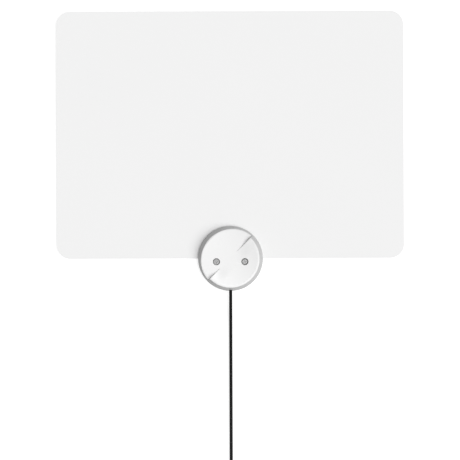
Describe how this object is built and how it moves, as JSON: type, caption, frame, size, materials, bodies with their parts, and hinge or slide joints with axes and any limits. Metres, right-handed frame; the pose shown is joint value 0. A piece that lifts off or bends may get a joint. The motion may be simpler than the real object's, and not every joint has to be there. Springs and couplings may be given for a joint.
{
  "type": "indoor tv antenna",
  "caption": "Thin white rectangular sheet antenna with a round white hub on its lower edge and a black coaxial cable with a push-on plug.",
  "frame": {"origin": "middle of the round hub's back face, on which the antenna lies", "axes": "+X to the sheet's right, +Y up the sheet away from the cable, +Z out of the front face"},
  "size_m": [0.33, 0.491, 0.0132],
  "materials": {
    "film": "satin white film",
    "foil": "satin",
    "housing": "smooth white moulding",
    "cover": "fine grained white moulding",
    "screw": "plated steel",
    "board": "solder mask",
    "clip": "spring strip",
    "ferrite": "sintered ferrite",
    "wire": "enamelled copper",
    "capacitor": "ceramic",
    "jacket": "smooth black jacket",
    "ring": "crimped",
    "braid": "tinned braid",
    "insulation": "polyethylene",
    "conductor": "copper",
    "solder": "bright solder",
    "strap": "woven strap",
    "boot": "moulded black",
    "barrel": "nickel plated",
    "disc": "moulded white",
    "pin": "gilt"
  },
  "bodies": {
    "root": {"front_film": "film", "radiator_left": "foil", "radiator_right": "foil", "back_film": "film", "front_housing": "housing", "back_cover": "cover", "screw_left": "screw", "screw_right": "screw", "circuit_board": "board", "contact_clip_left": "clip", "contact_clip_right": "clip", "balun_core": "ferrite", "balun_winding": "wire", "chip_capacitor": "capacitor", "cable_tail": "jacket", "strain_ring": "ring", "cable_braid": "braid", "cable_core": "insulation", "centre_conductor": "conductor", "solder_joints": "solder", "antenna_cable": "jacket", "cable_coil": "jacket", "coil_ties": "strap", "cable_end": "jacket", "plug_boot": "boot", "plug_barrel": "barrel", "plug_insulator": "disc", "plug_pin": "pin"}
  },
  "joints": []
}
